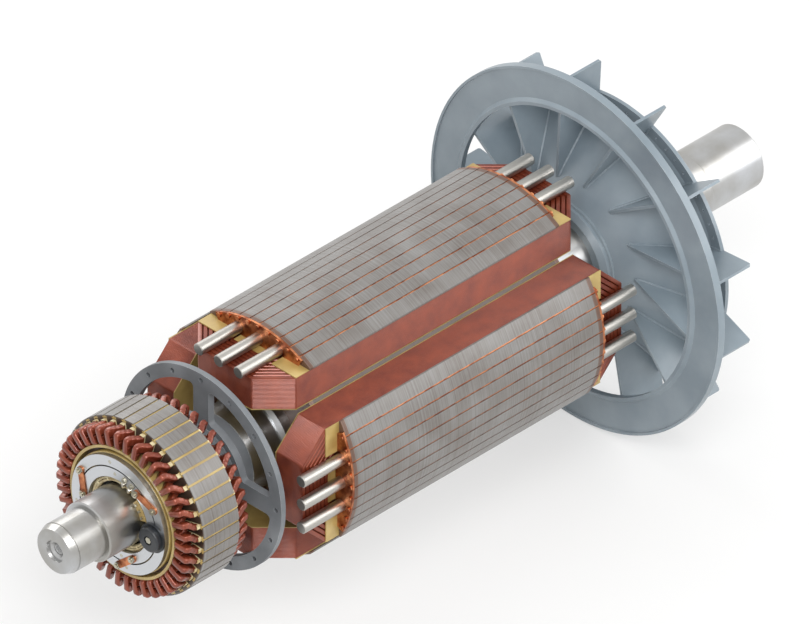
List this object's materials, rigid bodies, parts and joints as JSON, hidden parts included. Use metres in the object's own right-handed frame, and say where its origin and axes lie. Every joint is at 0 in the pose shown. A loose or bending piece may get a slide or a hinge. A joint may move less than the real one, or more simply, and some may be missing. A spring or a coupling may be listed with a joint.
{
  "type": "generator rotor",
  "caption": "Salient pole generator rotor on a stepped shaft, with exciter armature, rotating rectifier, balance disc and radial fan.",
  "frame": {"origin": "middle of the drive end bearing seat, on the shaft axis", "axes": "+X along the shaft, leaving at the drive end; +Z through the middle of one pole; +Y through the next pole"},
  "size_m": [1.9135, 0.804, 0.8039],
  "materials": {
    "turned_steel": "turned",
    "key_steel": "ground",
    "core_sheet": "varnished sheet stack",
    "end_sheet": "varnished",
    "rod_steel": "drawn",
    "damper_copper": "drawn copper",
    "insulation_board": "glass cloth laminate",
    "painted_steel": "satin",
    "wedge_laminate": "laminate",
    "coil_varnish": "varnished copper wire",
    "sink_aluminium": "milled",
    "plated_steel": "zinc plated",
    "suppressor_resin": "moulded",
    "fan_steel": "satin"
  },
  "bodies": {
    "root": {"balance_disc": "painted_steel", "coil_support_rods": "rod_steel", "core_key": "key_steel", "core_laminations": "core_sheet", "damper_bars": "damper_copper", "diode_nuts": "plated_steel", "disc_key": "key_steel", "disc_lock_ring": "turned_steel", "exciter_core": "core_sheet", "exciter_front_press_ring": "end_sheet", "exciter_hub": "painted_steel", "exciter_key": "key_steel", "exciter_rear_press_ring": "end_sheet", "exciter_slot_wedges": "wedge_laminate", "exciter_winding": "coil_varnish", "fan_back_plate": "fan_steel", "fan_blades": "fan_steel", "fan_front_ring": "fan_steel", "fan_hub": "fan_steel", "fan_key": "key_steel", "field_coil_bottom": "coil_varnish", "field_coil_left": "coil_varnish", "field_coil_right": "coil_varnish", "field_coil_top": "coil_varnish", "front_clamp_ring": "turned_steel", "front_core_end_plate": "end_sheet", "front_damper_plates": "damper_copper", "front_end_blocks": "insulation_board", "front_winding_support_ring": "insulation_board", "inner_coil_washer_bottom": "insulation_board", "inner_coil_washer_left": "insulation_board", "inner_coil_washer_right": "insulation_board", "inner_coil_washer_top": "insulation_board", "inner_sink_diodes": "plated_steel", "lead_clamp": "insulation_board", "lead_clamp_screws": "plated_steel", "outer_coil_washer_bottom": "insulation_board", "outer_coil_washer_left": "insulation_board", "outer_coil_washer_right": "insulation_board", "outer_coil_washer_top": "insulation_board", "outer_sink_diodes": "plated_steel", "phase_straps": "damper_copper", "pole_insulation_bottom": "insulation_board", "pole_insulation_left": "insulation_board", "pole_insulation_right": "insulation_board", "pole_insulation_top": "insulation_board", "rear_clamp_ring": "turned_steel", "rear_core_end_plate": "end_sheet", "rear_damper_plates": "damper_copper", "rear_end_blocks": "insulation_board", "rear_winding_support_ring": "insulation_board", "rectifier_base": "insulation_board", "rectifier_carrier_ring": "sink_aluminium", "rectifier_inner_sink": "sink_aluminium", "rectifier_outer_sink": "sink_aluminium", "shaft": "turned_steel", "sink_screws": "plated_steel", "suppressor_bolt": "plated_steel", "surge_suppressor": "suppressor_resin"}
  },
  "joints": []
}
